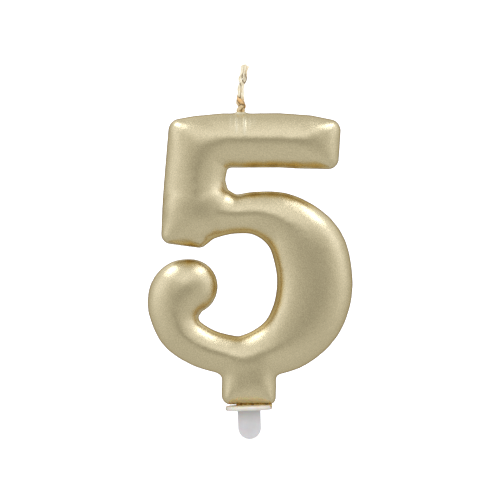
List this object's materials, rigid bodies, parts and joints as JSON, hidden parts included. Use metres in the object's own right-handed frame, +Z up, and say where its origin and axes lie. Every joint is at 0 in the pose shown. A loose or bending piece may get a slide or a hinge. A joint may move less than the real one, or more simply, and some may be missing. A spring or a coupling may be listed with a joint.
{
  "type": "number birthday candle",
  "caption": "Puffy five-shaped birthday candle in a metallic gold skin, with a short braided wick and a flanged white plastic cake pick.",
  "frame": {"origin": "centre of the pick flange's underside, where the candle rests on the cake", "axes": "+Z up through the candle, -Y towards the front of the figure, +X to the figure's right as it is read"},
  "size_m": [0.0514, 0.012, 0.0939],
  "materials": {
    "wax": "cast paraffin wax, matt and slightly translucent",
    "gold_lacquer": "satin metallic pale gold lacquer with a fine flake",
    "waxed_braid": "waxed cotton braid",
    "cream_strand": "waxed cream cotton strand",
    "gold_strand": "cotton strand stained with gold lacquer",
    "pick_plastic": "translucent white moulded plastic, its flange lacquered pale gold",
    "set_lacquer": "glossy gold-brown lacquer, set in a thick crumbly bead"
  },
  "bodies": {
    "pick": {"cake_pick": "pick_plastic", "lacquer_bead": "set_lacquer"},
    "candle": {"wax_body": "wax", "gold_coat": "gold_lacquer", "buried_wick": "waxed_braid"},
    "wick": {"wick_strand_left": "cream_strand", "wick_strand_middle": "gold_strand", "wick_strand_right": "cream_strand"}
  },
  "joints": [
    {"name": "candle_lift", "type": "slide", "parent": "pick", "child": "candle", "axis": [-0.0349, 0, 0.9994], "range_m": [0, 0.012]},
    {"name": "wick_bend", "type": "hinge", "parent": "candle", "child": "wick", "pos_m": [-0.00205, 0, 0.0749], "axis": [0, 1, 0], "range_deg": [-30, 30]}
  ]
}
